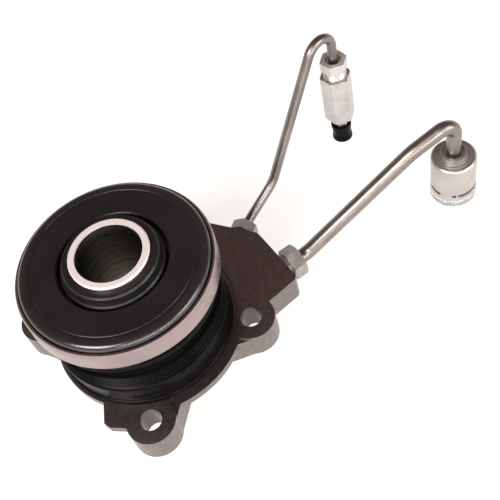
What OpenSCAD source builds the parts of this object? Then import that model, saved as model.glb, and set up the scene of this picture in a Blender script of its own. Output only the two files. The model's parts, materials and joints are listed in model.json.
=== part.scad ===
// Concentric slave cylinder for a clutch. An annular piston slides on a guide sleeve and carries
// the release bearing; a pressure line and a bleed line run to a die-cast housing.
// The shaft axis is Z, the mounting face is z = 0, and lengths are millimetres.

/* [Guide sleeve] */
// Bore that the gearbox shaft passes through
shaft_bore_d = 25; // [23:0.5:27]
// Wall of the guide sleeve
sleeve_wall = 2.5; // [2:0.25:3]
// Height of the sleeve's free end above the mounting face
sleeve_top = 61.4; // [59:0.2:68]
// Width of the sleeve's foot flange beyond its wall
foot_w = 3.9; // [3.4:0.1:4.2]
// Thickness of the foot flange
foot_t = 1.8; // [1.4:0.1:2]

/* [Cylinder] */
// Radial width of the annular fluid chamber
chamber_w = 6; // [5:0.25:7]
// Height of the chamber's floor
floor_z = 5; // [4.4:0.2:5.6]
// Wall of the cylinder
cylinder_wall = 4; // [3:0.25:5]
// Height of the cylinder's open end
cylinder_top = 30; // [27:0.5:34]
// Travel of the piston
stroke = 14; // [11:0.5:15]
// Radial wall of the collar on the piston's nose
nose_collar_w = 3; // [2:0.2:3.4]
// Height of that collar
nose_collar_h = 3.2; // [2:0.2:4]
// Height of the piston's lip seal
seal_h = 4.4; // [3.6:0.2:5]

/* [Housing] */
// Height of the flange's upper face
flange_top = 11.4; // [10.8:0.1:12]
// Thickness of the flange
flange_t = 3.3; // [2.6:0.1:4]
// Extra width of the rim between the two front lugs
rim_extra = 3.3; // [2:0.1:4]
// Height of the bosses and of the port block above the flange
boss_rise = 1; // [0.6:0.1:1.4]
// Radius of the bolt circle
bolt_circle_r = 42.5; // [41.5:0.25:45]
// Bolt hole
bolt_d = 8.5; // [6.5:0.25:9]
// Wall of a bolt boss around its hole
boss_wall = 5.25; // [4.5:0.25:6]
// Flare of a lug's sides towards the flange, in degrees
lug_flare = 20; // [16:1:24]
// Reach of the tab beside the first lug
tab_reach = 40; // [39:0.25:41.5]
// Width of that tab from the lug's middle
tab_w = 18; // [16.5:0.25:19]

/* [Ports] */
// Height of both ports
port_z = 6.4; // [6.2:0.1:6.8]
// Direction of the pressure port, in degrees
pressure_dir = 20.5; // [19:0.5:22]
// Distance of the pressure port's face from the shaft axis
pressure_face = 58.4; // [57.5:0.2:59.5]
// Offset of the pressure port from the shaft axis
pressure_off = 12.6; // [11.6:0.2:13.4]
// Direction of the bleed port, in degrees
bleed_dir = 56; // [54:0.5:58]
// Distance of the bleed port's face from the shaft axis
bleed_face = 50.5; // [49.5:0.25:51.5]
// Offset of the bleed port from the shaft axis
bleed_off = 21.5; // [20.5:0.25:22]
// Depth of the threaded part of a port
port_depth = 10; // [8:0.5:11]

/* [Bearing] */
// Ball diameter
ball_d = 5; // [4.6:0.1:5.2]
// Number of balls
ball_count = 20; // [16:1:22]
// Radial wall of the rotating ring's hub
hub_wall = 5.8; // [5:0.2:6.4]
// Radial gap between hub and outer race
race_gap = 3; // [2.6:0.1:3.4]
// Radial wall of the outer race
race_wall = 6; // [5:0.25:7]
// Height of the outer race
race_h = 6.8; // [6.4:0.1:7.6]
// Thickness of the rotating contact disc
disc_t = 2.9; // [2.4:0.1:3.4]
// Sheet thickness of the bearing shell
shell_t = 1.2; // [0.8:0.1:1.6]
// Thickness of the bearing carrier plate
carrier_t = 1.8; // [1.4:0.1:2.4]

/* [Boot and spring] */
// Wall of the rubber boot
boot_wall = 1.1; // [0.8:0.1:1.4]
// Depth of the bellows folds
fold_depth = 2.3; // [1.6:0.1:2.8]
// Number of close folds
fold_count = 4; // [3:1:5]
// Wire of the preload spring
spring_wire = 2.6; // [2:0.1:3]
// Turns of the preload spring
spring_turns = 5; // [4:0.5:6]

/* [Pressure line] */
// Outer diameter of the pressure pipe
pressure_pipe_d = 6; // [5:0.25:6.5]
// Wall of the pressure pipe
pressure_pipe_wall = 1; // [0.7:0.1:1.2]
// Width across flats of the pressure nut
pressure_nut_af = 12; // [11:0.5:13]
// Length of the pressure nut's hexagon
pressure_nut_len = 6; // [5:0.25:7]
// Distance of the pressure pipe's first bend from its nut
pressure_run = 4; // [3.5:0.25:6]
// Distance along X of the slope's bend from the connector
pressure_bend_x = 18.3; // [17:0.1:19.5]
// Distance along Y of the slope's bend from the connector
pressure_bend_y = 3.3; // [2.5:0.1:4]
// Height of the slope's bend
pressure_bend_z = 38.6; // [37:0.2:40]
// Height of the corner over the connector
pressure_arch_z = 46; // [45:0.5:49]
// Distance of the connector from the shaft axis
connector_x = 136.6; // [132:0.2:142]
// Sideways place of the connector
connector_y = 24.3; // [22:0.2:27]
// Radius of the connector's body
connector_r = 9.1; // [8.6:0.1:10]
// Height of the connector body's lower end
connector_z = 6; // [5:0.25:6.5]
// Length of the connector's body
connector_len = 19; // [18:0.5:20]

/* [Bleed line] */
// Outer diameter of the bleed pipe
bleed_pipe_d = 4; // [3.5:0.25:4.5]
// Wall of the bleed pipe
bleed_pipe_wall = 0.75; // [0.5:0.05:0.9]
// Width across flats of the bleed nut and of the union nut
bleed_nut_af = 10; // [9.5:0.25:11]
// Length of the bleed nut's hexagon
bleed_nut_len = 4.5; // [4:0.25:5.5]
// Distance of the bleed pipe's first bend from its nut
bleed_run = 2.5; // [2.25:0.25:4]
// Place along X of the bend at the foot of the slope
bleed_bend_x = 65.3; // [64:0.1:66.5]
// Place along Y of the bend at the foot of the slope
bleed_bend_y = 45; // [44:0.1:46]
// Height of the bend at the foot of the slope
bleed_bend_z = 16.6; // [15:0.2:18]
// Height of the corner over the bleeder
bleed_arch_z = 84; // [80:0.5:86]
// Distance of the bleeder from the shaft axis along X
bleeder_x = 102; // [98:0.2:106]
// Distance of the bleeder from the shaft axis along Y
bleeder_y = 66.9; // [64:0.2:70]
// Height of the bleeder body's lower end
bleeder_z = 20.7; // [19:0.1:23]
// Length of the bleeder's hexagonal body
bleeder_len = 24; // [22:0.5:26]
// Width across flats of the bleeder body
bleeder_af = 11.4; // [11:0.1:13]

/* [Hidden] */
$fn = 96;

// Clearances: a seat within one body, a sliding fit, a running gap and a wide gap
seat = 0.05;
slide_fit = 0.08;
run = 0.3;
free = 0.6;
// Overlap that lets a cut break through a face
through = 1;
// How far a pipe's legs run into its bends, and how much slimmer they are there
lap = 0.2;
skim = 0.01;

// Radii from the shaft outwards
sleeve_ri = shaft_bore_d / 2;
sleeve_ro = sleeve_ri + sleeve_wall;
foot_r = sleeve_ro + foot_w;
chamber_ro = sleeve_ro + chamber_w;
cylinder_ro = chamber_ro + cylinder_wall;
spring_r = cylinder_ro + 2 * free + spring_wire / 2;
barrel_r = spring_r + spring_wire / 2 + 2 * free;
boot_root_r = barrel_r + 2 * free + boot_wall;
boot_tip_r = boot_root_r + fold_depth;
boot_foot_r = boot_tip_r + 0.9;
flange_r = boot_foot_r + 0.7;
pocket_r = flange_r + 1.1;
boss_r = bolt_d / 2 + boss_wall;
lug_top = flange_top + boss_rise;
lug_angles = [-97, -17, 160];

// Seal grooves in the housing's underside
sleeve_ring_wire = 1.7;
sleeve_ring_r = sleeve_ro + sleeve_ring_wire / 2 + seat;
flange_ring_wire = 2.2;
flange_ring_r = (foot_r + barrel_r) / 2 - free;
flange_groove_w = flange_ring_wire + 2 * run;

// Levels of the moving stack
carrier_z = cylinder_top + stroke + free;
race_z = carrier_z + carrier_t;
race_top = race_z + race_h;
disc_z = race_top + run + 0.1;
disc_top = disc_z + disc_t;
seal_z = floor_z + stroke + free - 0.1;
piston_z = seal_z + seal_h + 0.1;
nose_ro = chamber_ro - 1.5;
nose_top = disc_top - run;
piston_ri = sleeve_ro + slide_fit;
piston_ro = chamber_ro - slide_fit;
nose_collar_ro = piston_ri + nose_collar_w;
nose_collar_top = nose_top + nose_collar_h;

// Bearing, from the piston's nose outwards
face_hole_r = nose_ro + 2 * free;
hub_ri = face_hole_r + 0.5;
hub_ro = hub_ri + hub_wall;
ball_circle_r = hub_ro + race_gap / 2;
race_ri = hub_ro + race_gap;
race_ro = race_ri + race_wall;
shell_ri = race_ro + seat;
shell_ro = shell_ri + shell_t;
shell_z = carrier_z + 0.4;
shell_top = race_top + 0.8;
shell_lip_r = race_ro - 3;
carrier_ro = shell_lip_r - 0.4;
ball_z = race_z + race_h / 2 + 0.4;
groove_r = ball_d / 2 + run;
disc_ro = shell_ri - 0.5;
disc_edge_r = disc_t - 0.7;
cage_w = race_gap - 2 * run - 0.4;
cage_z = race_z + 0.4;
cage_pocket_r = ball_d / 2 + 0.12;

// Bellows
boot_z = flange_top + seat;
boot_top = carrier_z - seat;
fold_pitch = 1.7;
fold_top = carrier_z - 13.4;
bead_z = carrier_z - 5.6;
skirt_z = fold_top - fold_count * fold_pitch - 2.5;
boot_step = 0.425;

// Ports and nuts
pressure_shank_r = 5;
bleed_shank_r = 4;
passage_r = 2;
nut_stand_off = 1.5;
flare_t = 1.6;
shank_depth = port_depth - flare_t;

// Connector
socket_r = 5.2;
socket_depth = 13;
collar_r = 5.4;
collar_h = 2.6;
collar_well = 1.2;
connector_edge = 0.6;
seal_wire = 1.8;
seal_groove_h = 2.1;
seal_groove_w = 1.4;
ring_groove_z = 3.4;
ring_wire = 1.2;
ring_slot_h = 1.6;
window_h = 1.4;
ring_groove_r = connector_r - 0.8;
plug_t = 2.5;
plug_stem_len = 9;
connector_top = connector_z + connector_len;
pipe_seat_z = connector_z + socket_depth + through;
seal_z0 = connector_z + socket_depth - through;
ring_z = connector_z + ring_groove_z;

// Bleeder
screw_r = 3;
screw_len = 9.6;
screw_af = 6;
screw_hex_len = 5.8;
nipple_r = 2.4;
nipple_len = 7.2;
nipple_barb = 0.25;
nipple_drill_r = 0.9;
union_shank_r = 3.75;
union_shank_len = 6.6;
union_neck_len = 3.7;
union_hex_len = 4.8;
union_well = 1.6;
bleeder_top = bleeder_z + bleeder_len;
screw_hex_z = bleeder_z - 0.1 - screw_hex_len;
cap_lap = 0.8;
cap_rim_z = screw_hex_z + cap_lap;
cap_len = 9.6;
cap_wall = 0.6;
cap_bead_h = 2;

// Places on a port's axis, s millimetres out from the shaft
function turned(a, x, y) = [x * cos(a) - y * sin(a), x * sin(a) + y * cos(a)];
function on_port(dir, off, s) = concat(turned(dir, s, -off), port_z);

// Corner where the two port faces would meet
port_turn = bleed_dir - pressure_dir;
block_corner = turned(pressure_dir, pressure_face,
    (bleed_face - pressure_face * cos(port_turn)) / sin(port_turn));
block_left = turned(bleed_dir, bleed_face, -2);
block_right = turned(pressure_dir, pressure_face, -pressure_off - 10.5);
block_inner = turned(bleed_dir, chamber_ro, -2);
lug_b = turned(lug_angles[1], bolt_circle_r, 0);

// Corners of the two pipes, with the bend radius at each inner corner
pressure_route = [on_port(pressure_dir, pressure_off, pressure_face - port_depth),
    on_port(pressure_dir, pressure_off, pressure_face + nut_stand_off + pressure_nut_len + pressure_run),
    [connector_x - pressure_bend_x, connector_y - pressure_bend_y, pressure_bend_z],
    [connector_x, connector_y, pressure_arch_z], [connector_x, connector_y, pipe_seat_z]];
pressure_bends = [8, 25, 5];
bleed_route = [on_port(bleed_dir, bleed_off, bleed_face - port_depth),
    on_port(bleed_dir, bleed_off, bleed_face + nut_stand_off + bleed_nut_len + bleed_run),
    [bleed_bend_x, bleed_bend_y, bleed_bend_z],
    [bleeder_x, bleeder_y, bleed_arch_z], [bleeder_x, bleeder_y, bleeder_top - union_shank_len]];
bleed_bends = [5, 14, 6.7];

// Vectors along a pipe's route
function unit(v) = v / norm(v);
function leg(route, i) = unit(route[i + 1] - route[i]);
function bend_angle(route, i) = acos(leg(route, i - 1) * leg(route, i));
function trim(route, bends, i) =
    (i == 0 || i == len(route) - 1) ? 0 : bends[i - 1] * tan(bend_angle(route, i) / 2);
function frame_at(p, x, y, z) = [[x[0], y[0], z[0], p[0]], [x[1], y[1], z[1], p[1]],
    [x[2], y[2], z[2], p[2]], [0, 0, 0, 1]];
function beside(d) = unit(cross(abs(d[2]) > 0.9 ? [1, 0, 0] : [0, 0, 1], d));

// Straight legs of radius leg_r and round bends of radius bend_r along a route; the legs run
// into the bends by lap, and both ends run on by ends
module bent_rod(route, bends, leg_r, bend_r, ends) {
    last = len(route) - 2;
    for (i = [0 : last]) {
        d = leg(route, i);
        lead = i == 0 ? ends : lap;
        tail = i == last ? ends : lap;
        start = route[i] + d * (trim(route, bends, i) - lead);
        straight = norm(route[i + 1] - route[i]) - trim(route, bends, i) - trim(route, bends, i + 1);
        multmatrix(frame_at(start, beside(d), cross(d, beside(d)), d))
            cylinder(h = straight + lead + tail, r = leg_r);
    }
    for (i = [1 : last]) {
        a = leg(route, i - 1);
        b = leg(route, i);
        centre = route[i] + unit(b - a) * bends[i - 1] / cos(bend_angle(route, i) / 2);
        out = unit(route[i] - a * trim(route, bends, i) - centre);
        multmatrix(frame_at(centre, out, a, cross(out, a)))
            rotate_extrude(angle = bend_angle(route, i)) translate([bends[i - 1], 0]) circle(bend_r);
    }
}

// A bent pipe with its bore
module bent_tube(route, bends, ro, ri) {
    difference() {
        bent_rod(route, bends, ro - skim, ro, 0);
        bent_rod(route, bends, ri, ri - skim, through);
    }
}

// A ring of rectangular section between two radii and two heights
module band(ri, ro, z0, z1) {
    rotate_extrude() translate([ri, z0]) square([ro - ri, z1 - z0]);
}

// A closed wire ring about Z
module wire_ring(r, wire, z) {
    translate([0, 0, z]) rotate_extrude() translate([r, 0]) circle(d = wire);
}

// A hexagon with turned corners at both ends, standing on z = 0
module hexagon(af, h) {
    corner = af / sqrt(3);
    bevel = (corner - af / 2) * 0.8;
    drop = bevel * tan(30);
    intersection() {
        cylinder(h = h, r = corner, $fn = 6);
        rotate_extrude() polygon([[0, 0], [corner - bevel, 0], [corner, drop], [corner, h - drop],
            [corner - bevel, h], [0, h]]);
    }
}

// Moves children to a port's axis, with local Z running outwards from s
module at_port(dir, off, s) {
    rotate(dir) translate([s, -off, port_z]) rotate([0, 90, 0]) children();
}

// The sliver between a corner p, with neighbours a and b, and the arc of radius r that rounds it
module corner_sliver(p, a, b, r) {
    u = unit(a - p);
    v = unit(b - p);
    half = acos(u * v) / 2;
    c = p + unit(u + v) * r / sin(half);
    difference() {
        polygon([p + (p - c) * 0.1, p + u * r / tan(half), c, p + v * r / tan(half)]);
        translate(c) circle(r);
    }
}

module block_outline() {
    difference() {
        polygon([block_inner, lug_b, block_right, block_corner, block_left]);
        corner_sliver(block_right, lug_b, block_corner, 2.5);
        corner_sliver(block_corner, block_right, block_left, 4);
        corner_sliver(block_left, block_corner, block_inner, 2);
    }
}

// Web of a bolt lug about its own radial axis, closing on its boss and widening inwards
module lug_web() {
    grip = 0.96 * boss_r;
    outer = [bolt_circle_r + grip * sin(lug_flare), grip * cos(lug_flare)];
    root_x = barrel_r * 0.7;
    root_y = outer[1] + (outer[0] - root_x) * tan(lug_flare);
    polygon([[root_x, -root_y], [outer[0], -outer[1]], outer, [root_x, root_y]]);
}

module tab_outline() {
    polygon([[barrel_r - 3, -tab_w], [tab_reach, -tab_w], [tab_reach + 2.1, 2.3 - tab_w],
        [bolt_circle_r + 1.8, -boss_r * 0.7], [barrel_r - 3, -boss_r * 0.7]]);
}

// Port drilled from its face: thread bore, then a passage into the chamber
module port_cut(dir, off, face, shank_r, passage_end) {
    at_port(dir, off, face - port_depth) cylinder(h = port_depth + through, r = shank_r + seat);
    at_port(dir, off, passage_end) cylinder(h = face - port_depth - passage_end + through, r = passage_r);
}

// Bolt bosses, grown by extra
module boss_outline(extra) {
    for (a = lug_angles) rotate(a) translate([bolt_circle_r, 0]) circle(boss_r + extra);
}

// What stands on the mounting face: barrel, lugs and port block
module base_outline() {
    circle(barrel_r);
    for (a = lug_angles) rotate(a) lug_web();
    boss_outline(0);
    block_outline();
}

// The flange's plate: plain rim, wide rim between the two front lugs, and the tab
module flange_outline() {
    reach = 2 * flange_r;
    sector = [lug_angles[0], (lug_angles[0] + lug_angles[1]) / 2, lug_angles[1]];
    circle(flange_r);
    intersection() {
        circle(flange_r + rim_extra);
        polygon(concat([[0, 0]], [for (a = sector) turned(a, reach, 0)]));
    }
    rotate(lug_angles[0]) tab_outline();
}

// What is cut down to the flange's face: all but the bosses and the port block
module lowered_outline() {
    reach = 2 * pressure_face;
    difference() {
        circle(reach);
        boss_outline(skim);
        polygon([block_inner, lug_b, 1.1 * block_right, 1.1 * block_corner, 1.1 * block_left]);
    }
    circle(pocket_r);
}

module housing_body() {
    difference() {
        union() {
            linear_extrude(lug_top) base_outline();
            translate([0, 0, flange_top - flange_t])
                linear_extrude(flange_t + boss_rise / 2) flange_outline();
        }
        translate([0, 0, flange_top]) linear_extrude(2 * boss_rise) lowered_outline();
    }
}

// Die-cast housing with cylinder, flange, lugs and port block
module housing() {
    color("#a09a97") difference() {
        union() {
            housing_body();
            translate([0, 0, floor_z - through])
                cylinder(h = cylinder_top - floor_z + through, r = cylinder_ro);
        }
        translate([0, 0, floor_z]) cylinder(h = cylinder_top, r = chamber_ro);
        translate([0, 0, -through]) cylinder(h = cylinder_top, r = sleeve_ro + seat);
        translate([0, 0, -through]) cylinder(h = foot_t + through, r = foot_r + seat);
        translate([0, 0, foot_t - through]) cylinder(h = sleeve_ring_wire + 0.1 + through,
            r = sleeve_ring_r + sleeve_ring_wire / 2 + 0.1);
        band(flange_ring_r - flange_groove_w / 2, flange_ring_r + flange_groove_w / 2,
            -through, flange_ring_wire + 0.2);
        for (a = lug_angles) rotate(a) translate([bolt_circle_r, 0, -through])
            cylinder(h = lug_top + 2 * through, r = bolt_d / 2);
        port_cut(pressure_dir, pressure_off, pressure_face, pressure_shank_r,
            sqrt(pow(chamber_ro, 2) - pow(pressure_off, 2)) - 2 * through);
        port_cut(bleed_dir, bleed_off, bleed_face, bleed_shank_r, 0);
    }
}

// Turned guide sleeve with its foot flange
module guide_sleeve() {
    edge = sleeve_wall * 0.2;
    color("#d8cccb") rotate_extrude() polygon([[sleeve_ri, 0], [foot_r, 0], [foot_r, foot_t],
        [sleeve_ro, foot_t], [sleeve_ro, sleeve_top - edge], [sleeve_ro - edge, sleeve_top],
        [sleeve_ri, sleeve_top]]);
}

module sleeve_o_ring() {
    color("#1b1a1b") wire_ring(sleeve_ring_r, sleeve_ring_wire, foot_t + sleeve_ring_wire / 2 + seat);
}

module flange_o_ring() {
    color("#1b1a1b") wire_ring(flange_ring_r, flange_ring_wire, flange_ring_wire / 2 + 0.1);
}

// Annular piston with a shoulder for the bearing carrier, a nose inside the bearing and a collar on it
module piston() {
    edge = 0.6;
    color("#242324") rotate_extrude() polygon([[piston_ri, piston_z], [piston_ro, piston_z],
        [piston_ro, carrier_z], [nose_ro, carrier_z], [nose_ro, nose_top - edge], [nose_ro - edge, nose_top],
        [nose_collar_ro, nose_top], [nose_collar_ro, nose_collar_top - edge],
        [nose_collar_ro - edge, nose_collar_top], [piston_ri, nose_collar_top]]);
}

// Lip seal below the piston, with a lip on each wall
module piston_seal() {
    lip = chamber_w * 0.28;
    notch = seal_h * 0.55;
    mid = (piston_ri + piston_ro) / 2;
    color("#1b1a1b") rotate_extrude() polygon([[piston_ri, seal_z], [piston_ri + lip * 0.6, seal_z],
        [piston_ri + lip, seal_z + notch], [mid, seal_z + notch + 0.4], [piston_ro - lip, seal_z + notch],
        [piston_ro - lip * 0.6, seal_z], [piston_ro, seal_z], [piston_ro, seal_z + seal_h],
        [piston_ri, seal_z + seal_h]]);
}

// Height of the spring's wire after t turns: closed end turns, open turns between
spring_z0 = flange_top + spring_wire / 2 + seat;
spring_z1 = carrier_z - spring_wire / 2 - seat;
spring_close = spring_wire + 0.2;
spring_open = (spring_z1 - spring_z0 - 2 * spring_close) / (spring_turns - 2);
function spring_height(t) = spring_z0 + spring_close * min(t, 1)
    + spring_open * max(0, min(t, spring_turns - 1) - 1) + spring_close * max(0, t - spring_turns + 1);

// Coil spring that keeps the bearing lightly loaded
module preload_spring() {
    sides = 8;
    rings = 24 * spring_turns;
    points = [for (i = [0 : rings], k = [0 : sides - 1])
        let (a = 15 * i, q = 360 * k / sides, r = spring_r + cos(q) * spring_wire / 2)
        [r * cos(a), r * sin(a), spring_height(i / 24) + sin(q) * spring_wire / 2]];
    walls = [for (i = [0 : rings - 1], k = [0 : sides - 1])
        let (m = (k + 1) % sides)
        [i * sides + k, i * sides + m, (i + 1) * sides + m, (i + 1) * sides + k]];
    ends = [[for (k = [sides - 1 : -1 : 0]) k], [for (k = [0 : sides - 1]) rings * sides + k]];
    color("#6f6c6b") polyhedron(points, concat(walls, ends));
}

// Outer radius of the boot at height z: collar, bead, close folds, skirt and foot
function swell(z, at, half) = max(0, 1 - pow((z - at) / half, 2));
function in_folds(z) = z < fold_top && z > fold_top - fold_count * fold_pitch;
function boot_outer(z) = in_folds(z)
    ? boot_root_r + fold_depth * (1 - cos(360 * (fold_top - z) / fold_pitch)) / 2
    : boot_root_r + 0.3 * fold_depth * (z > fold_top ? swell(z, carrier_z, 3) : 0)
        + 1.25 * fold_depth * swell(z, bead_z, 1.6)
        + (z > fold_top ? 0 : 1.15 * fold_depth * max(swell(z, skirt_z, 1.8), z < skirt_z ? 0.85 : 0))
        + (z < boot_z + 1.5 ? boot_foot_r - boot_root_r - 0.98 * fold_depth : 0);

// Rubber bellows between the housing and the bearing
module dust_boot() {
    heights = [for (z = [boot_z : boot_step : boot_top - boot_step / 2]) z];
    levels = concat(heights, boot_top);
    count = len(levels);
    color("#1b1a1b") rotate_extrude() polygon(concat(
        [for (z = levels) [boot_outer(z), z]],
        [for (i = [count - 1 : -1 : 0]) [boot_outer(levels[i]) - boot_wall, levels[i]]]));
}

// Plate on the piston's shoulder that carries the bearing
module bearing_carrier() {
    color("#8f8a88") band(nose_ro + seat, carrier_ro, carrier_z, race_z);
}

module outer_race() {
    edge = 0.6;
    color("#8f8a88") rotate_extrude() difference() {
        polygon([[race_ri, race_z], [race_ro - edge, race_z], [race_ro, race_z + edge],
            [race_ro, race_top - edge], [race_ro - edge, race_top], [race_ri, race_top]]);
        translate([ball_circle_r, ball_z]) circle(groove_r);
    }
}

// Pressed shell round the outer race, with a lip under it and a rolled upper edge
module bearing_shell() {
    bend = shell_t * 0.7;
    roll = shell_t * 0.4;
    color("#c9bdbd") rotate_extrude() difference() {
        polygon([[shell_lip_r, shell_z], [shell_ro, shell_z], [shell_ro, shell_top - 2 * roll],
            [shell_ro - roll, shell_top], [shell_ri, shell_top], [shell_ri, race_z], [shell_lip_r, race_z]]);
        corner_sliver([shell_ro, shell_z], [shell_ro, shell_top], [shell_lip_r, shell_z], bend);
    }
}

// Rotating ring that the clutch fingers press on, with the inner ball groove on its hub
module contact_ring() {
    edge = 0.5;
    color("#1f1e1f") rotate_extrude() difference() {
        union() {
            translate([hub_ri, race_z + 0.8]) square([hub_wall, disc_z - race_z]);
            polygon([[face_hole_r, disc_z], [disc_ro, disc_z], [disc_ro, disc_top],
                [face_hole_r + edge, disc_top], [face_hole_r, disc_top - edge]]);
        }
        corner_sliver([disc_ro, disc_top], [disc_ro, disc_z], [face_hole_r, disc_top], disc_edge_r);
        translate([ball_circle_r, ball_z]) circle(groove_r);
        translate([disc_ro - 2 * disc_edge_r, disc_top + 0.35]) circle(0.6);
    }
}

// Crown cage with a pocket for each ball
module ball_cage() {
    color("#b9a36a") difference() {
        band(ball_circle_r - cage_w / 2, ball_circle_r + cage_w / 2, cage_z, ball_z + 0.4);
        for (i = [0 : ball_count - 1]) rotate(360 * i / ball_count)
            translate([ball_circle_r, 0, ball_z]) rotate([0, 90, 0])
                cylinder(h = 2 * cage_w, r = cage_pocket_r, center = true);
    }
}

module bearing_balls() {
    color("#dedbd8") for (i = [0 : ball_count - 1]) rotate(360 * i / ball_count)
        translate([ball_circle_r, 0, ball_z]) sphere(d = ball_d);
}

// Steel pipe with a flared bead at its port end
module pressure_pipe() {
    color("#8a807e") {
        bent_tube(pressure_route, pressure_bends,
            pressure_pipe_d / 2, pressure_pipe_d / 2 - pressure_pipe_wall);
        at_port(pressure_dir, pressure_off, pressure_face - port_depth)
            band(pressure_pipe_d / 2 - through / 4, pressure_shank_r - free, 0, flare_t);
    }
}

module bleed_pipe() {
    color("#8a807e") {
        bent_tube(bleed_route, bleed_bends, bleed_pipe_d / 2, bleed_pipe_d / 2 - bleed_pipe_wall);
        at_port(bleed_dir, bleed_off, bleed_face - port_depth)
            band(bleed_pipe_d / 2 - through / 4, bleed_shank_r - free, 0, flare_t);
    }
}

// Tube nut: hexagon, neck and threaded shank on a pipe
module tube_nut(af, len, shank_r, pipe_r) {
    difference() {
        union() {
            translate([0, 0, shank_depth + nut_stand_off]) hexagon(af, len);
            cylinder(h = shank_depth + nut_stand_off + through, r = shank_r);
        }
        translate([0, 0, -through]) cylinder(h = 4 * port_depth, r = pipe_r + seat);
    }
}

module pressure_nut() {
    color("#9b9692") at_port(pressure_dir, pressure_off, pressure_face - shank_depth)
        tube_nut(pressure_nut_af, pressure_nut_len, pressure_shank_r, pressure_pipe_d / 2);
}

module bleed_nut() {
    color("#9b9692") at_port(bleed_dir, bleed_off, bleed_face - shank_depth)
        tube_nut(bleed_nut_af, bleed_nut_len, bleed_shank_r, bleed_pipe_d / 2);
}

// Union nut that holds the bleed pipe in the bleeder
module union_nut() {
    hex_z = bleeder_top + union_neck_len;
    color("#9b9692") translate([bleeder_x, bleeder_y, 0]) difference() {
        union() {
            translate([0, 0, bleeder_top - union_shank_len])
                cylinder(h = union_shank_len + through, r = union_shank_r);
            translate([0, 0, bleeder_top]) cylinder(h = union_neck_len + through, r = bleed_nut_af * 0.45);
            translate([0, 0, hex_z]) hexagon(bleed_nut_af, union_hex_len);
        }
        translate([0, 0, bleeder_z]) cylinder(h = 2 * bleeder_len, r = bleed_pipe_d / 2 + seat);
        translate([0, 0, hex_z + union_hex_len - union_well])
            cylinder(h = 2 * union_hex_len, r = bleed_nut_af * 0.33);
    }
}

// Hexagonal bleeder body with a union seat above and the bleed screw's thread below
module bleeder_body() {
    color("#d8d4d0") translate([bleeder_x, bleeder_y, bleeder_z]) difference() {
        hexagon(bleeder_af, bleeder_len);
        translate([0, 0, -through])
            cylinder(h = bleeder_len + 2 * through, r = bleed_pipe_d / 2 - bleed_pipe_wall);
        translate([0, 0, -through]) cylinder(h = screw_len + 0.5 + through, r = screw_r + seat);
        translate([0, 0, bleeder_len - union_shank_len]) cylinder(h = bleeder_len, r = union_shank_r + seat);
    }
}

// Bleed screw: threaded shank with a cone, hexagon and hose nipple, drilled up from below
module bleed_screw() {
    tip_z = screw_hex_z - nipple_len;
    neck_r = nipple_r - nipple_barb;
    cone_h = 2;
    shank_top = bleeder_z + screw_len;
    color("#b8b3ae") translate([bleeder_x, bleeder_y, 0]) difference() {
        union() {
            translate([0, 0, screw_hex_z]) hexagon(screw_af, screw_hex_len);
            rotate_extrude() polygon([[0, tip_z], [neck_r, tip_z], [nipple_r + nipple_barb, tip_z + cone_h],
                [neck_r, tip_z + 1.5 * cone_h], [neck_r, screw_hex_z], [screw_r, screw_hex_z + through],
                [screw_r, shank_top - cone_h], [screw_r * 0.4, shank_top], [0, shank_top]]);
        }
        translate([0, 0, tip_z - through]) cylinder(h = nipple_len + screw_hex_len, r = nipple_drill_r);
    }
}

// Rubber cap over the bleed screw's nipple, with a bead at each end
module bleeder_cap() {
    rim_ri = screw_af / sqrt(3) + run;
    rim_ro = rim_ri + cap_wall;
    wall_ro = rim_ro - cap_wall * 0.6;
    hollow_r = nipple_r + nipple_barb + run;
    foot = cap_rim_z - cap_len;
    shelf = screw_hex_z - run;
    hollow_z = screw_hex_z - nipple_len - run;
    round = cap_bead_h * 0.6;
    color("#1b1a1b") translate([bleeder_x, bleeder_y, 0]) rotate_extrude() polygon([[0, foot],
        [rim_ro - round, foot], [rim_ro, foot + round], [rim_ro, foot + round + cap_bead_h / 2],
        [wall_ro, foot + 2 * cap_bead_h], [wall_ro, cap_rim_z - 1.2 * cap_bead_h],
        [rim_ro, cap_rim_z - cap_bead_h], [rim_ro, cap_rim_z], [rim_ri, cap_rim_z],
        [rim_ri, shelf], [hollow_r, shelf], [hollow_r, hollow_z], [0, hollow_z]]);
}

// Angles at which the retaining ring shows through the connector's wall
ring_windows = [[-98, -28], [-113, -103], [175, 215]];

// Quick connector: turned body, collar round the pipe, socket from below
module connector_body() {
    pipe_r = pressure_pipe_d / 2;
    face_r = connector_r - connector_edge;
    scribe_w = 0.4;
    scribe_step = 1.3;
    color("#d5d0cb") translate([connector_x, connector_y, 0]) difference() {
        union() {
            rotate_extrude() polygon([[0, connector_z], [face_r, connector_z],
                [connector_r, connector_z + connector_edge], [connector_r, connector_top - connector_edge],
                [face_r, connector_top], [0, connector_top]]);
            translate([0, 0, connector_top - through]) cylinder(h = collar_h + through, r = collar_r);
        }
        translate([0, 0, connector_z - through]) cylinder(h = socket_depth + through, r = socket_r);
        translate([0, 0, connector_z]) cylinder(h = connector_len, r = pipe_r - pressure_pipe_wall);
        translate([0, 0, pipe_seat_z]) cylinder(h = connector_len, r = pipe_r + seat);
        translate([0, 0, connector_top + collar_h - collar_well])
            cylinder(h = collar_h, r = pipe_r + seal_groove_w);
        for (k = [0, 1]) band(collar_r + 0.7 + scribe_step * k, collar_r + 0.7 + scribe_step * k + scribe_w,
            connector_top - scribe_w, connector_top + scribe_w);
        band(socket_r - through, ring_groove_r, ring_z - ring_slot_h / 2, ring_z + ring_slot_h / 2);
        band(socket_r - through, socket_r + seal_groove_w, seal_z0 - seal_groove_h, seal_z0);
        for (w = ring_windows) rotate(w[0]) rotate_extrude(angle = w[1] - w[0])
            translate([socket_r, ring_z - window_h / 2]) square([connector_r - socket_r + through, window_h]);
    }
}

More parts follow.
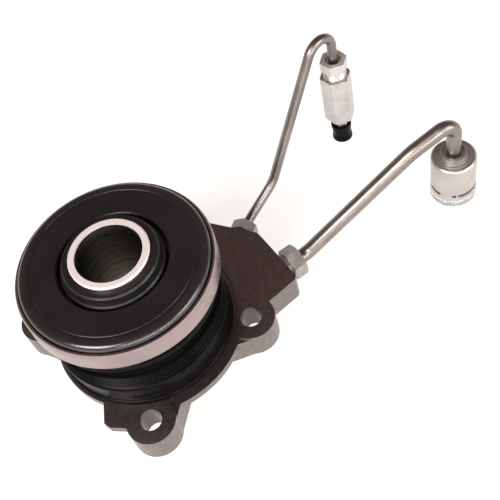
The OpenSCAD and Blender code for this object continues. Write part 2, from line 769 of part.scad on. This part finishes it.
module connector_seal() {
    color("#1b1a1b") translate([connector_x, connector_y, 0])
        wire_ring(socket_r + seal_groove_w - seal_wire / 2 - 0.1, seal_wire, seal_z0 - seal_groove_h / 2);
}

// Sprung wire ring in the connector's groove, open at the back
module retaining_ring() {
    color("#3a3634") translate([connector_x, connector_y, ring_z]) rotate(140) rotate_extrude(angle = 300)
        translate([ring_groove_r - ring_wire / 2 - 0.1, 0]) circle(d = ring_wire);
}

// Clear dust plug in the connector's socket, hollow from below
module dust_plug() {
    stem_r = socket_r - run;
    top = connector_z - run;
    color("#e8e6e2") translate([connector_x, connector_y, 0]) difference() {
        union() {
            translate([0, 0, top - plug_t]) cylinder(h = plug_t, r = connector_r + 0.3);
            translate([0, 0, top - through]) cylinder(h = plug_stem_len + through, r = stem_r);
        }
        translate([0, 0, top - plug_t - through]) cylinder(h = plug_t + plug_stem_len, r = stem_r - 1.1);
    }
}

housing();
guide_sleeve();
sleeve_o_ring();
flange_o_ring();
piston();
piston_seal();
preload_spring();
dust_boot();
bearing_carrier();
outer_race();
bearing_shell();
contact_ring();
ball_cage();
bearing_balls();
pressure_pipe();
pressure_nut();
bleed_pipe();
bleed_nut();
union_nut();
bleeder_body();
bleed_screw();
bleeder_cap();
connector_body();
connector_seal();
retaining_ring();
dust_plug();
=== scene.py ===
"""Looks of a clutch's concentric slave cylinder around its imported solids, in metres."""
import json
import math

import bpy
from mathutils import Matrix, Vector


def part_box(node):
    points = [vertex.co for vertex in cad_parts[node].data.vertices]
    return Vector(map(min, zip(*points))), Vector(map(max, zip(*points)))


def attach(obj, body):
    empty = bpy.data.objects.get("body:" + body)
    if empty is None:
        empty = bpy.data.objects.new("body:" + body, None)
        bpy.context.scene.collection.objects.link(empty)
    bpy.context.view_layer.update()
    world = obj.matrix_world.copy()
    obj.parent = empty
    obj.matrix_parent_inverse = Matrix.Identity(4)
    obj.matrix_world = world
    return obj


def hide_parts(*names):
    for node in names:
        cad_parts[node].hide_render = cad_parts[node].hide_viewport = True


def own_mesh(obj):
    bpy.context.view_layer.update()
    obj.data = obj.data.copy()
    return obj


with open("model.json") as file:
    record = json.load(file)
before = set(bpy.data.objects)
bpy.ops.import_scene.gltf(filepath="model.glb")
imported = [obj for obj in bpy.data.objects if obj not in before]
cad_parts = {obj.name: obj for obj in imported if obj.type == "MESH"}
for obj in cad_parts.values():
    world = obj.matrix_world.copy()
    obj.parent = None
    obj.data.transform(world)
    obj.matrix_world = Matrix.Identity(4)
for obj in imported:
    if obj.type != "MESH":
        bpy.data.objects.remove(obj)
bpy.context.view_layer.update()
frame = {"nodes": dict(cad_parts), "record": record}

MM = 0.001

# Camera, in the part's own frame
CAMERA_AT = (0.04789, -0.193514, 0.310536)
CAMERA_RIGHT = (0.956384, -0.238253, -0.169018)
CAMERA_UP = (0.292115, 0.780038, 0.553363)
CAMERA_LENS = 64.8
CAMERA_SENSOR = 36.0

# Places and sizes that several pieces share
CONNECTOR = (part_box("connector_body")[0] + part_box("connector_body")[1]) / 2
BLEEDER = (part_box("bleeder_body")[0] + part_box("bleeder_body")[1]) / 2
BOOT_LOW, BOOT_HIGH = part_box("dust_boot")
SPRING_LOW, SPRING_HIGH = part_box("preload_spring")
SLEEVE_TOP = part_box("guide_sleeve")[1].z
SLEEVE_BORE = 12.5 * MM
# Depth of the sleeve's end band that carries a painted highlight
SLEEVE_END_HIGHLIGHT = 0.8 * MM
SLEEVE_LEAD_IN = 3.4 * MM
SKIN = 0.05 * MM
LIP_START = 31.5 * MM
LIP_FULL = 33.0 * MM
UNION_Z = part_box("union_nut")[0].z
FLOOR_Z = -11 * MM
FLOOR_SIZE = 6
BOLT_HOLES = [hole for hole in frame["record"]["mounts"] if hole["name"].startswith("bolt_hole")]


def linear(hex_code):
    """An sRGB hex colour as linear RGBA."""
    channels = [int(hex_code[i:i + 2], 16) / 255 for i in (1, 3, 5)]
    return [c / 12.92 if c <= 0.04045 else ((c + 0.055) / 1.055) ** 2.4 for c in channels] + [1.0]


def per_mm(size):
    """Texture scale at which a pattern repeats about every size millimetres."""
    return 1000 / size


def add(tree, kind, inputs=None, **settings):
    """Adds a node with its settings, and fills or links its inputs."""
    made = tree.nodes.new(kind)
    for key, value in settings.items():
        setattr(made, key, value)
    for key, value in (inputs or {}).items():
        if isinstance(value, bpy.types.NodeSocket):
            tree.links.new(value, made.inputs[key])
        else:
            made.inputs[key].default_value = value
    return made


def start_material(name, **sockets):
    """A material with one Principled shader whose constant sockets are set directly."""
    material = bpy.data.materials.new(name)
    material.use_nodes = True
    tree = material.node_tree
    shader = tree.nodes["Principled BSDF"]
    for key, value in sockets.items():
        shader.inputs[key.replace("_", " ")].default_value = value
    place = add(tree, "ShaderNodeTexCoord").outputs["Object"]
    return material, tree, shader, place


def mottle(tree, shader, place, size, dark, light, detail=3.0):
    """Colour that drifts between two tones over patches of a size in mm."""
    noise = add(tree, "ShaderNodeTexNoise", {"Vector": place, "Scale": per_mm(size), "Detail": detail})
    ramp = add(tree, "ShaderNodeValToRGB", {"Fac": noise.outputs["Fac"]})
    ramp.color_ramp.elements[0].position = 0.35
    ramp.color_ramp.elements[1].position = 0.65
    ramp.color_ramp.elements[0].color = linear(dark)
    ramp.color_ramp.elements[1].color = linear(light)
    tree.links.new(ramp.outputs["Color"], shader.inputs["Base Color"])
    return ramp.outputs["Color"]


def rough_range(tree, shader, place, size, low, high):
    """Roughness that drifts between two values over patches of a size in mm."""
    noise = add(tree, "ShaderNodeTexNoise", {"Vector": place, "Scale": per_mm(size), "Detail": 4.0})
    spread = add(tree, "ShaderNodeMapRange", {"Value": noise.outputs["Fac"], "From Min": 0.3,
                 "From Max": 0.7, "To Min": low, "To Max": high})
    tree.links.new(spread.outputs["Result"], shader.inputs["Roughness"])
    return spread.outputs["Result"]


def grain(tree, shader, place, size, height, detail=2.0):
    """Fine bump of a grain size and a height in mm."""
    noise = add(tree, "ShaderNodeTexNoise", {"Vector": place, "Scale": per_mm(size), "Detail": detail})
    bump = add(tree, "ShaderNodeBump", {"Height": noise.outputs["Fac"], "Distance": height * MM,
               "Strength": 1.0})
    tree.links.new(bump.outputs["Normal"], shader.inputs["Normal"])
    return bump


def turned_rings(tree, shader, place, centre, spacing, height):
    """Bump of the fine rings a lathe leaves about an upright axis, on ends and walls alike."""
    moved = add(tree, "ShaderNodeMapping", {"Vector": place, "Location": (-centre[0], -centre[1], 0)})
    ends = add(tree, "ShaderNodeTexWave", {"Vector": moved.outputs["Vector"], "Scale": per_mm(spacing) / 20,
               "Distortion": 0.6, "Detail": 2.0}, wave_type="RINGS", rings_direction="Z")
    walls = add(tree, "ShaderNodeTexWave", {"Vector": moved.outputs["Vector"], "Scale": per_mm(spacing) / 20,
                "Distortion": 0.6, "Detail": 2.0}, wave_type="BANDS", bands_direction="Z")
    facing = add(tree, "ShaderNodeNewGeometry").outputs["True Normal"]
    up = add(tree, "ShaderNodeSeparateXYZ", {"Vector": facing}).outputs["Z"]
    flat = add(tree, "ShaderNodeMath", {0: up}, operation="ABSOLUTE").outputs["Value"]
    rings = add(tree, "ShaderNodeMix", {"Factor": flat, "A": walls.outputs["Fac"], "B": ends.outputs["Fac"]})
    bump = add(tree, "ShaderNodeBump", {"Height": rings.outputs["Result"], "Distance": height * MM,
               "Strength": 1.0})
    tree.links.new(bump.outputs["Normal"], shader.inputs["Normal"])


def compare(tree, value, limit, operation):
    """1 where a value is above or below a limit in metres, and 0 elsewhere."""
    return add(tree, "ShaderNodeMath", {0: value, 1: limit}, operation=operation).outputs["Value"]


def blend(tree, share, first, second):
    """Two colours or colour sockets, mixed by a share from 0 to 1."""
    mixed = add(tree, "ShaderNodeMix", {"Factor": share}, data_type="RGBA")
    for socket, value in ((mixed.inputs[6], first), (mixed.inputs[7], second)):
        if isinstance(value, bpy.types.NodeSocket):
            tree.links.new(value, socket)
        else:
            socket.default_value = value
    return mixed.outputs[2]


def axis_radius(tree, place):
    """Distance of the shaded point from the shaft axis."""
    axes = add(tree, "ShaderNodeSeparateXYZ", {"Vector": place})
    flat = add(tree, "ShaderNodeCombineXYZ", {"X": axes.outputs["X"], "Y": axes.outputs["Y"]})
    length = add(tree, "ShaderNodeVectorMath", {0: flat.outputs["Vector"]}, operation="LENGTH")
    return length.outputs["Value"]


def cast_aluminium():
    """Die-cast aluminium, shot-blasted to a fine pebbled grey, with smooth drilled bolt holes whose walls
    carry painted shade.
    """
    material, tree, shader, place = start_material("cast_aluminium_blasted", Metallic=1.0)
    blasted = mottle(tree, shader, place, 1.6, "#7f7572", "#8c837f")
    rough = rough_range(tree, shader, place, 0.8, 0.32, 0.42)
    bump = grain(tree, shader, place, 0.45, 0.035)
    drilled_and_shaded = 0.0
    for hole in BOLT_HOLES:
        x, y, _ = hole["pos_m"]
        moved = add(tree, "ShaderNodeMapping", {"Vector": place, "Location": (-x, -y, 0)})
        wall = hole["dims"]["r_mm"] * MM + 2 * SKIN
        near = compare(tree, axis_radius(tree, moved.outputs["Vector"]), wall, "LESS_THAN")
        drilled_and_shaded = add(tree, "ShaderNodeMath", {0: near, 1: drilled_and_shaded}, operation="MAXIMUM").outputs["Value"]
    # Painted shade: the bolt hole walls take a darker colour for the shade inside the holes; their
    # smoothness and fading grain are real.
    tree.links.new(blend(tree, drilled_and_shaded, blasted, linear("#5f5551")), shader.inputs["Base Color"])
    smooth = add(tree, "ShaderNodeMapRange", {"Value": drilled_and_shaded, "To Min": rough, "To Max": 0.2})
    tree.links.new(smooth.outputs["Result"], shader.inputs["Roughness"])
    fade = add(tree, "ShaderNodeMapRange", {"Value": drilled_and_shaded, "To Min": 1.0, "To Max": 0.1})
    tree.links.new(fade.outputs["Result"], bump.inputs["Strength"])
    return material


def turned_steel():
    """Sleeve steel: an end face painted pale as a painted highlight, a lead-in and bore painted dark as
    painted shade that is darkest deep in the bore, and fine tool rings.
    """
    material, tree, shader, place = start_material("sleeve_steel_turned")
    axes = add(tree, "ShaderNodeSeparateXYZ", {"Vector": place})
    bore = compare(tree, axis_radius(tree, place), SLEEVE_BORE + SKIN, "LESS_THAN")
    end = compare(tree, axes.outputs["Z"], SLEEVE_TOP - SLEEVE_END_HIGHLIGHT, "GREATER_THAN")
    lead_in = compare(tree, axes.outputs["Z"], SLEEVE_TOP - SLEEVE_LEAD_IN, "GREATER_THAN")
    rings = add(tree, "ShaderNodeTexWave", {"Vector": place, "Scale": per_mm(0.55) / 20, "Distortion": 1.2,
                "Detail": 3.0}, wave_type="BANDS", bands_direction="Z")
    # Painted shade: the bore's dark tones stand for the shade inside it; the bands in them follow the tool
    # rings.
    bore_shade_with_rings = blend(tree, rings.outputs["Fac"], linear("#57544a"), linear("#6a665b"))
    # Painted shade, lighter in the lead-in just below the end.
    bore_and_lead_in_shade = blend(tree, lead_in, bore_shade_with_rings, linear("#8a857c"))
    wall = blend(tree, bore, linear("#b9aeac"), bore_and_lead_in_shade)
    # Painted highlight: the end face is painted near white for the light it catches, and made barely
    # metallic so that pale colour shows.
    wall_with_painted_light = blend(tree, end, wall, linear("#efe2e0"))
    tree.links.new(wall_with_painted_light, shader.inputs["Base Color"])
    metal = add(tree, "ShaderNodeMapRange", {"Value": end, "To Min": 1.0, "To Max": 0.15})
    tree.links.new(metal.outputs["Result"], shader.inputs["Metallic"])
    rough_range(tree, shader, place, 3.0, 0.30, 0.40)
    turned_rings(tree, shader, place, (0, 0), 0.9, 0.015)
    return material


def pressed_steel():
    """Cold-rolled steel, pressed: satin silver with a faint warm cast."""
    material, tree, shader, place = start_material("sheet_steel_pressed", Metallic=1.0)
    mottle(tree, shader, place, 20.0, "#a49392", "#b09f9d")
    rough_range(tree, shader, place, 2.5, 0.26, 0.36)
    grain(tree, shader, place, 0.7, 0.006)
    return material


def bearing_steel():
    """Chrome bearing steel, ground: bright and nearly mirror smooth."""
    material, tree, shader, place = start_material("bearing_steel_ground", Metallic=1.0)
    mottle(tree, shader, place, 8.0, "#b9b8b9", "#cbcacb")
    rough_range(tree, shader, place, 2.0, 0.14, 0.22)
    return material


def black_steel():
    """Steel with a black phosphate and oil finish: satin near-black, and a lip that is rubbed shiny."""
    material, tree, shader, place = start_material("contact_steel_phosphated", Metallic=0.0)
    mottle(tree, shader, place, 11.0, "#1a1818", "#201d1e")
    radius = axis_radius(tree, place)
    rough = add(tree, "ShaderNodeMapRange", {"Value": radius, "From Min": LIP_START, "From Max": LIP_FULL,
                "To Min": 0.32, "To Max": 0.22})
    tree.links.new(rough.outputs["Result"], shader.inputs["Roughness"])
    gloss = add(tree, "ShaderNodeMapRange", {"Value": radius, "From Min": LIP_START, "From Max": LIP_FULL,
                "To Min": 0.45, "To Max": 1.0})
    tree.links.new(gloss.outputs["Result"], shader.inputs["Specular IOR Level"])
    grain(tree, shader, place, 0.4, 0.004)
    return material


def black_polymer():
    """Glass-filled polyamide, moulded: matt black with a soft sheen."""
    material, tree, shader, place = start_material("piston_polyamide_moulded", Metallic=0.0)
    mottle(tree, shader, place, 7.0, "#161414", "#1b1919")
    rough_range(tree, shader, place, 2.0, 0.34, 0.46)
    grain(tree, shader, place, 0.35, 0.008)
    return material


def black_rubber():
    """Nitrile rubber, moulded: deep black with a waxy highlight on each fold."""
    material, tree, shader, place = start_material("boot_rubber_moulded", Metallic=0.0,
                                                   Specular_IOR_Level=0.07)
    mottle(tree, shader, place, 6.0, "#0b0a0a", "#0f0e0e")
    rough_range(tree, shader, place, 1.2, 0.20, 0.28)
    grain(tree, shader, place, 0.3, 0.006)
    return material


def spring_steel():
    """Drawn spring wire, oil hardened: dark grey with a dull shine."""
    material, tree, shader, place = start_material("spring_wire_drawn", Metallic=1.0)
    mottle(tree, shader, place, 5.0, "#4a4746", "#5c5957")
    rough_range(tree, shader, place, 1.5, 0.30, 0.42)
    return material


def pipe_steel():
    """Drawn steel tube with a dull zinc finish: grey-brown, drifting to paler patches."""
    material, tree, shader, place = start_material("pipe_steel_drawn", Metallic=1.0)
    mottle(tree, shader, place, 12.0, "#8a827b", "#99918d", 2.0)
    rough_range(tree, shader, place, 5.0, 0.30, 0.38)
    grain(tree, shader, place, 0.6, 0.006)
    return material


def zinc_nut():
    """Free-cutting steel, milled and zinc plated: pale grey and cloudy, and brighter on the union."""
    material, tree, shader, place = start_material("nut_steel_zinc_plated", Metallic=0.6)
    cloudy = mottle(tree, shader, place, 4.0, "#9a948f", "#ada7a2")
    height = add(tree, "ShaderNodeSeparateXYZ", {"Vector": place}).outputs["Z"]
    union = compare(tree, height, UNION_Z - MM, "GREATER_THAN")
    tree.links.new(blend(tree, union, cloudy, linear("#d3cdc8")), shader.inputs["Base Color"])
    rough_range(tree, shader, place, 2.0, 0.26, 0.40)
    grain(tree, shader, place, 0.5, 0.008)
    return material


def bleeder_steel():
    """Hexagon bar, drawn and zinc plated: very pale, with flats that catch broad light."""
    material, tree, shader, place = start_material("bleeder_steel_zinc_plated", Metallic=1.0)
    mottle(tree, shader, place, 6.0, "#c3bfbb", "#d4d0cc")
    rough_range(tree, shader, place, 2.0, 0.24, 0.34)
    grain(tree, shader, place, 0.6, 0.006)
    return material


def connector_metal():
    """Aluminium bar, turned: bright walls and fine rings on its end."""
    material, tree, shader, place = start_material("connector_aluminium_turned", Metallic=0.85)
    mottle(tree, shader, place, 8.0, "#bab4af", "#c6c1bc")
    rough_range(tree, shader, place, 2.0, 0.34, 0.42)
    turned_rings(tree, shader, place, CONNECTOR, 0.8, 0.006)
    return material


def cage_polymer():
    """Heat-stabilised polyamide, moulded: dull amber."""
    material, tree, shader, place = start_material("cage_polyamide_moulded", Metallic=0.0)
    mottle(tree, shader, place, 4.0, "#7d6230", "#927543")
    rough_range(tree, shader, place, 2.0, 0.42, 0.55)
    return material


def clear_plastic():
    """Low-density polyethylene, moulded thin: cloudy and see-through with a soft shine."""
    material, tree, shader, place = start_material("plug_polyethylene_moulded", Metallic=0.0, IOR=1.51,
                                                   Transmission_Weight=0.75)
    mottle(tree, shader, place, 5.0, "#f0efec", "#fbfaf8")
    rough_range(tree, shader, place, 2.0, 0.22, 0.32)
    return material


MATERIALS = {
    "cast_aluminium": cast_aluminium(),
    "turned_steel": turned_steel(),
    "pressed_steel": pressed_steel(),
    "bearing_steel": bearing_steel(),
    "black_steel": black_steel(),
    "black_polymer": black_polymer(),
    "cage_polymer": cage_polymer(),
    "black_rubber": black_rubber(),
    "spring_steel": spring_steel(),
    "pipe_steel": pipe_steel(),
    "zinc_nut": zinc_nut(),
    "bleeder_steel": bleeder_steel(),
    "connector_metal": connector_metal(),
    "clear_plastic": clear_plastic(),
}
SLOT_OF = {part["node"]: part["material_slot"] for part in frame["record"]["subparts"]}


def only(piece):
    """Makes one piece the selected and active one."""
    bpy.ops.object.select_all(action="DESELECT")
    piece.hide_set(False)
    piece.select_set(True)
    bpy.context.view_layer.objects.active = piece


def finish_piece(piece, name, slot, body, *nodes):
    """Names a piece, gives it its finish and sets what it rides on and stands for."""
    piece.name = name
    piece.data.name = name
    piece.data.materials.clear()
    piece.data.materials.append(MATERIALS[slot])
    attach(piece, body)
    if nodes:
        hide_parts(*nodes)


def turn_profile(profile, centre, segments):
    """Turns a closed outline of (radius, height) points about an upright axis, ring by ring."""
    radius, height = profile[0]
    bpy.ops.object.select_all(action="DESELECT")
    bpy.ops.mesh.primitive_circle_add(vertices=segments, radius=radius, fill_type="NOTHING",
                                      location=(centre[0], centre[1], height))
    piece = bpy.context.object
    bpy.ops.object.transform_apply(location=True, rotation=True, scale=True)
    bpy.ops.object.mode_set(mode="EDIT")
    bpy.ops.mesh.select_all(action="SELECT")
    for next_radius, next_height in profile[1:]:
        bpy.ops.mesh.extrude_region_move(
            TRANSFORM_OT_translate={"value": (0, 0, next_height - height)})
        factor = next_radius / radius
        bpy.ops.transform.resize(value=(factor, factor, 1),
                                 center_override=(centre[0], centre[1], next_height))
        radius, height = next_radius, next_height
    bpy.ops.mesh.select_all(action="DESELECT")
    bpy.ops.mesh.select_non_manifold()
    bpy.ops.mesh.bridge_edge_loops()
    bpy.ops.mesh.select_all(action="SELECT")
    bpy.ops.mesh.normals_make_consistent(inside=False)
    bpy.ops.object.mode_set(mode="OBJECT")
    bpy.ops.object.shade_smooth_by_angle(angle=math.radians(40))
    return piece


def eased_copy(node, edge, segments=2):
    """A copy of a CAD node with its sharp edges eased by a width in mm."""
    source = frame["nodes"][node]
    piece = source.copy()
    piece.data = source.data.copy()
    bpy.context.scene.collection.objects.link(piece)
    piece.parent = None
    for key in list(piece.keys()):
        del piece[key]
    only(piece)
    bpy.ops.object.mode_set(mode="EDIT")
    bpy.ops.mesh.select_all(action="SELECT")
    bpy.ops.mesh.remove_doubles(threshold=0.002 * MM)
    bpy.ops.mesh.dissolve_limited(angle_limit=math.radians(0.6))
    bpy.ops.object.mode_set(mode="OBJECT")
    bevel = piece.modifiers.new("eased", "BEVEL")
    bevel.width = edge * MM
    bevel.segments = segments
    bevel.limit_method = "ANGLE"
    bevel.angle_limit = math.radians(32)
    bpy.ops.object.modifier_apply(modifier=bevel.name)
    bpy.ops.object.shade_smooth_by_angle(angle=math.radians(32))
    flats = piece.modifiers.new("flats", "WEIGHTED_NORMAL")
    flats.weight = 100
    flats.keep_sharp = True
    bpy.ops.object.modifier_apply(modifier=flats.name)
    return piece


def dress_cad_nodes():
    """Every CAD node takes the finish of its slot."""
    for name, piece in frame["nodes"].items():
        piece.data.materials.clear()
        piece.data.materials.append(MATERIALS[SLOT_OF[name]])


def place_camera():
    """The photograph's camera, set by its place and its right and up directions."""
    right = Vector(CAMERA_RIGHT).normalized()
    up = Vector(CAMERA_UP).normalized()
    back = right.cross(up)
    data = bpy.data.cameras.new("photo_camera")
    data.lens = CAMERA_LENS
    data.sensor_width = CAMERA_SENSOR
    camera = bpy.data.objects.new("photo_camera", data)
    bpy.context.scene.collection.objects.link(camera)
    camera.matrix_world = Matrix((
        (right.x, up.x, back.x, CAMERA_AT[0]),
        (right.y, up.y, back.y, CAMERA_AT[1]),
        (right.z, up.z, back.z, CAMERA_AT[2]),
        (0, 0, 0, 1)))
    bpy.context.scene.camera = camera


def lay_floor():
    """A wide white floor, low enough to leave room for the cap and the plug when they are pulled off."""
    bpy.ops.object.select_all(action="DESELECT")
    bpy.ops.mesh.primitive_plane_add(size=FLOOR_SIZE, location=(0, 0, FLOOR_Z))
    floor = bpy.context.object
    floor.name = "floor"
    material = bpy.data.materials.new("studio_floor_paper")
    material.use_nodes = True
    tree = material.node_tree
    tree.nodes.remove(tree.nodes["Principled BSDF"])
    paper = add(tree, "ShaderNodeBsdfDiffuse", {"Color": linear("#f4f3f2")})
    white = add(tree, "ShaderNodeEmission", {"Color": linear("#fffdfb"), "Strength": 1.4})
    seen = add(tree, "ShaderNodeLightPath")
    lift = add(tree, "ShaderNodeMath", {0: seen.outputs["Is Camera Ray"], 1: seen.outputs["Is Glossy Ray"]},
               operation="MAXIMUM")
    share = add(tree, "ShaderNodeMath", {0: lift.outputs["Value"], 1: 0.55}, operation="MULTIPLY")
    mixed = add(tree, "ShaderNodeMixShader", {0: share.outputs["Value"], 1: paper.outputs["BSDF"],
                2: white.outputs["Emission"]})
    tree.links.new(mixed.outputs["Shader"], tree.nodes["Material Output"].inputs["Surface"])
    floor.data.materials.append(material)


def light_studio():
    """White walls low down, a dim brown ceiling that tops mirror, two soft lamps and two glint strips."""
    world = bpy.data.worlds.new("studio")
    bpy.context.scene.world = world
    world.use_nodes = True
    tree = world.node_tree
    direction = add(tree, "ShaderNodeTexCoord").outputs["Generated"]
    height = add(tree, "ShaderNodeSeparateXYZ", {"Vector": direction}).outputs["Z"]
    ramp = add(tree, "ShaderNodeValToRGB", {"Fac": height})
    ramp.color_ramp.elements[0].position = 0.05
    ramp.color_ramp.elements[0].color = linear("#ffffff")
    ramp.color_ramp.elements[1].position = 0.38
    ramp.color_ramp.elements[1].color = linear("#846f6c")
    seen = add(tree, "ShaderNodeLightPath").outputs["Is Camera Ray"]
    room = tree.nodes["Background"]
    tree.links.new(ramp.outputs["Color"], room.inputs["Color"])
    room.inputs["Strength"].default_value = 0.8
    white = add(tree, "ShaderNodeBackground", {"Color": linear("#ffffff"), "Strength": 1.0})
    mixed = add(tree, "ShaderNodeMixShader", {0: seen, 1: room.outputs["Background"],
                2: white.outputs["Background"]})
    tree.links.new(mixed.outputs["Shader"], tree.nodes["World Output"].inputs["Surface"])
    lamps = (
        ("key_softbox", (-0.55, -0.50, 0.80), 0.5, 0.5, 9.0),
        ("fill_softbox", (0.75, -0.45, 0.45), 0.5, 0.5, 4.0),
        ("fold_strip", (0.15, -0.80, 0.30), 0.9, 0.05, 3.2),
        ("lip_strip", (0.10, -0.75, 0.62), 0.7, 0.05, 1.4),
    )
    for name, at, size, tall, power in lamps:
        data = bpy.data.lights.new(name, "AREA")
        data.shape = "RECTANGLE"
        data.size = size
        data.size_y = tall
        data.energy = power
        lamp = bpy.data.objects.new(name, data)
        bpy.context.scene.collection.objects.link(lamp)
        lamp.location = at
        aim = Vector((0.05, 0.01, 0.02)) - Vector(at)
        lamp.rotation_euler = aim.to_track_quat("-Z", "Y").to_euler()


# Bellows: heights above the mounting face and radii, in mm
BOOT_WALL = 1.1
BOOT_ROOT = 32.3
FOLD_COUNT = 4
FOLD_PITCH = 1.7
FOLD_DEPTH = 2.3
FOLD_TOP = 31.2
BEAD_Z = 39.0
SKIRT_Z = 21.9


def swell(z, middle, half):
    """A rounded bulge from 0 to 1 about a middle height."""
    return max(0.0, 1 - ((z - middle) / half) ** 2)


def boot_radius(z):
    """Outer radius of the boot: collar, bead, close folds, skirt and foot."""
    low = BOOT_LOW.z / MM
    high = BOOT_HIGH.z / MM
    fold_end = FOLD_TOP - FOLD_COUNT * FOLD_PITCH
    if fold_end < z < FOLD_TOP:
        wave = abs(math.sin(math.pi * (FOLD_TOP - z) / FOLD_PITCH))
        return BOOT_ROOT + FOLD_DEPTH * wave ** 0.8
    radius = BOOT_ROOT
    if z >= FOLD_TOP:
        radius += 0.3 * FOLD_DEPTH * swell(z, high, 3) + 1.25 * FOLD_DEPTH * swell(z, BEAD_Z, 1.6) ** 0.6
    else:
        radius += 1.15 * FOLD_DEPTH * max(swell(z, SKIRT_Z, 1.8) ** 0.6, 0.85 if z < SKIRT_Z else 0)
        radius += 0.9 * swell(z, low, 1.6) ** 0.5
    return radius


def make_boot():
    """Rubber bellows, turned from its folded outline, with a wall all the way up."""
    step = 0.12
    low = BOOT_LOW.z / MM
    high = BOOT_HIGH.z / MM
    count = int((high - low) / step)
    heights = [low + (high - low) * i / count for i in range(count + 1)]
    outside = [(boot_radius(z) * MM, z * MM) for z in heights]
    inside = [((boot_radius(z) - BOOT_WALL) * MM, z * MM) for z in reversed(heights)]
    boot = turn_profile(outside + inside, (0, 0), 144)
    finish_piece(boot, "dust_boot_bellows", "black_rubber", "housing", "dust_boot")
    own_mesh(boot)


def make_spring():
    """Coil of round wire, wound by turning its section up a screw."""
    wire = 2.6 * MM
    turns = 5
    radius = SPRING_HIGH.x - wire / 2
    tall = SPRING_HIGH.z - SPRING_LOW.z
    bpy.ops.object.select_all(action="DESELECT")
    bpy.ops.mesh.primitive_circle_add(vertices=16, radius=wire / 2, fill_type="NOTHING",
                                      location=(radius, 0, SPRING_LOW.z + wire / 2),
                                      rotation=(math.radians(90), 0, 0))
    spring = bpy.context.object
    bpy.ops.object.transform_apply(location=True, rotation=True, scale=True)
    coil = spring.modifiers.new("coil", "SCREW")
    coil.axis = "Z"
    coil.angle = 2 * math.pi * turns
    coil.screw_offset = tall - wire
    coil.steps = 48 * turns
    coil.render_steps = 48 * turns
    coil.use_smooth_shade = True
    bpy.ops.object.modifier_apply(modifier=coil.name)
    bpy.ops.object.mode_set(mode="EDIT")
    bpy.ops.mesh.select_all(action="DESELECT")
    bpy.ops.mesh.select_non_manifold()
    bpy.ops.mesh.edge_face_add()
    bpy.ops.mesh.select_all(action="SELECT")
    bpy.ops.mesh.normals_make_consistent(inside=False)
    bpy.ops.object.mode_set(mode="OBJECT")
    bpy.ops.object.shade_smooth_by_angle(angle=math.radians(40))
    finish_piece(spring, "preload_spring_coil", "spring_steel", "housing", "preload_spring")
    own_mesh(spring)


def make_union_thread():
    """Fine thread that shows on the union nut's neck above the bleeder."""
    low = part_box("bleeder_body")[1].z + 0.25 * MM
    pitch = 1.0 * MM
    turns = 3
    root = 4.45 * MM
    crest = 4.95 * MM
    inner = root - 0.6 * MM
    outline = [(root, low)]
    for turn in range(turns):
        outline += [(crest, low + (turn + 0.45) * pitch), (crest, low + (turn + 0.55) * pitch),
                    (root + 0.05 * MM, low + (turn + 1) * pitch)]
    outline += [(inner, low + turns * pitch), (inner, low)]
    thread = turn_profile(outline, BLEEDER, 64)
    finish_piece(thread, "union_thread", "zinc_nut", "housing")


def make_eased_castings():
    """Castings, bar and sheet parts with the small rounds that moulds and tumbling leave."""
    for node, edge, body in (("housing", 0.5, "housing"), ("bleeder_body", 0.2, "housing"),
                             ("union_nut", 0.15, "housing"), ("pressure_nut", 0.2, "housing"),
                             ("bleed_nut", 0.15, "housing"), ("connector_body", 0.15, "housing"),
                             ("bearing_shell", 0.25, "release_bearing")):
        piece = eased_copy(node, edge)
        finish_piece(piece, node + "_eased", SLOT_OF[node], body, node)


dress_cad_nodes()
make_boot()
make_spring()
make_eased_castings()
make_union_thread()
place_camera()
lay_floor()
light_studio()
bpy.context.scene.view_settings.view_transform = "Standard"
